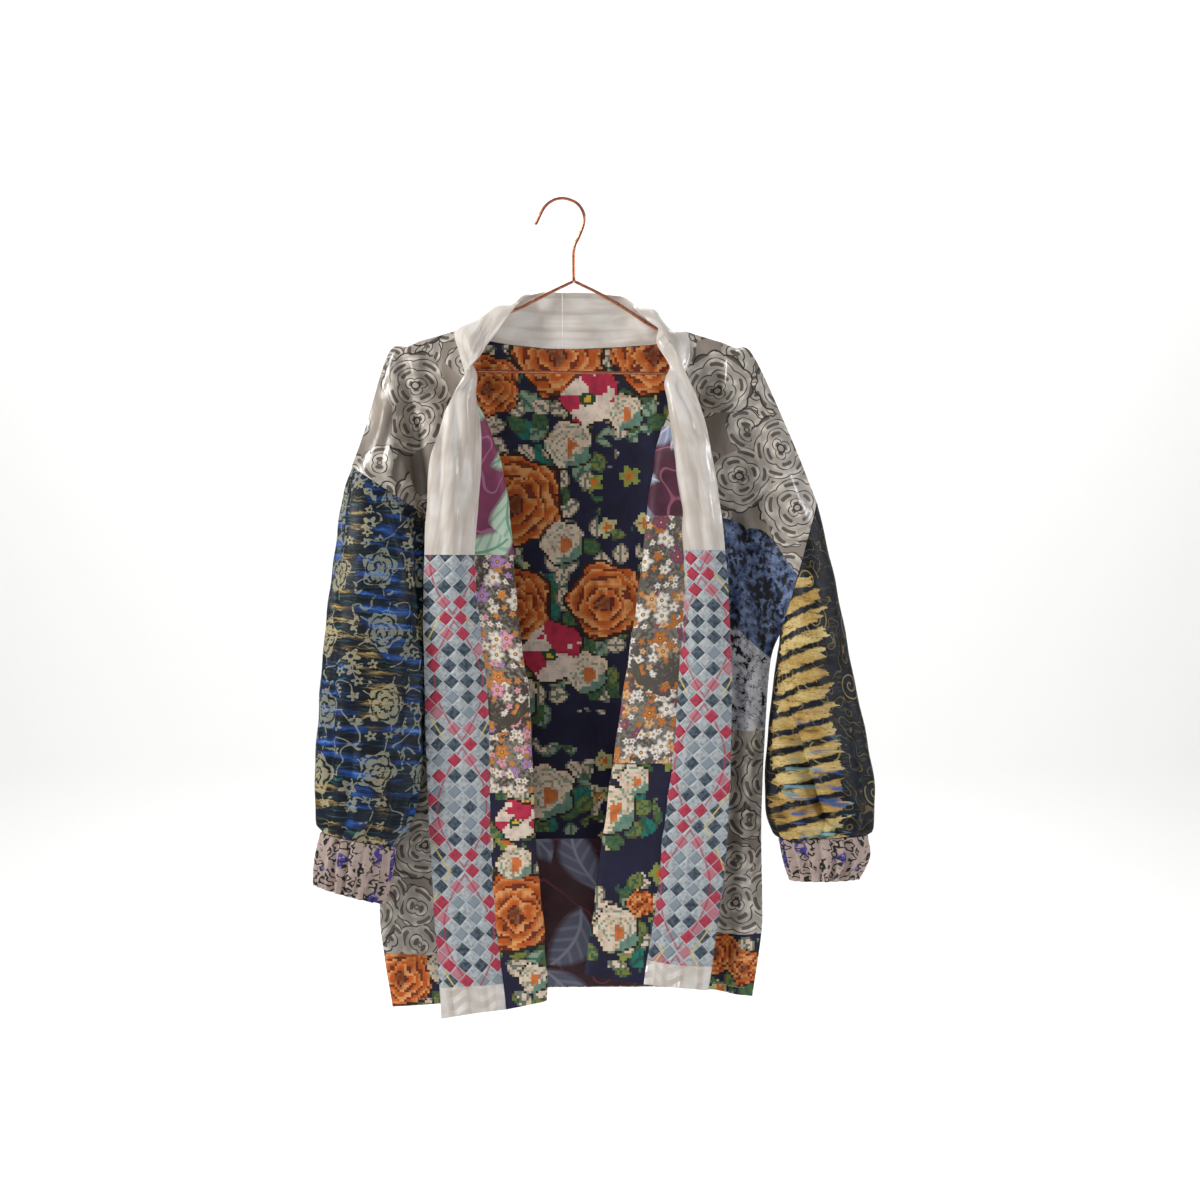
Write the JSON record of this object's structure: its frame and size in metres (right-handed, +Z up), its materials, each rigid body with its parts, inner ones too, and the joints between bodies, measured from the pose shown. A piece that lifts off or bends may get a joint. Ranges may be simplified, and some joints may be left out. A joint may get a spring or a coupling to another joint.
{
  "type": "kimono jacket on a wire hanger",
  "caption": "Long open kimono-style patchwork jacket with turned-back fronts, a shawl collar band and gathered sleeves, hanging open on a copper wire hanger.",
  "frame": {"origin": "inside top of the hanger hook, where it hangs on a rail", "axes": "+Z up, -Y the way the jacket faces, +X to the right as seen from the front"},
  "size_m": [0.6101, 0.1164, 0.8986],
  "materials": {
    "copper_wire": "polished",
    "rose_satin": "satin with dark-outlined roses",
    "needlepoint_print": "print of stepped roses on navy",
    "dark_plum_print": "plum print",
    "lace_print": "blue print with dark lacework",
    "white_print": "white print with dark marks",
    "plum_print": "plum print with leaves",
    "aubergine_print": "aubergine print with leaves",
    "small_flower_print": "print of small flowers",
    "white_satin": "glossy satin",
    "diamond_print": "print of diamonds",
    "navy_stripe_print": "striped print",
    "gold_stripe_print": "striped print",
    "cuff_print": "gathered print"
  },
  "bodies": {
    "root": {"hanger_hook": "copper_wire", "hanger_arm_left": "copper_wire", "hanger_arm_right": "copper_wire", "hanger_bar": "copper_wire", "back": "rose_satin", "back_lining_upper": "needlepoint_print", "back_lining_middle": "needlepoint_print", "back_lining_lower": "dark_plum_print", "front_left_body": "rose_satin", "front_left_hem": "needlepoint_print", "front_right_yoke": "rose_satin", "front_right_lace": "lace_print", "front_right_print": "white_print", "front_right_satin": "rose_satin", "front_right_hem": "needlepoint_print", "lining_left_top": "plum_print", "lining_left_middle": "small_flower_print", "lining_left_low": "needlepoint_print", "lining_right_top": "aubergine_print", "lining_right_middle": "small_flower_print", "lining_right_low": "needlepoint_print", "collar_left": "white_satin", "band_left": "diamond_print", "band_end_left": "white_satin", "collar_right": "white_satin", "band_right": "diamond_print", "band_end_right": "white_satin", "sleeve_left": "navy_stripe_print", "cuff_left": "cuff_print", "sleeve_right": "gold_stripe_print", "cuff_right": "cuff_print"}
  },
  "joints": []
}
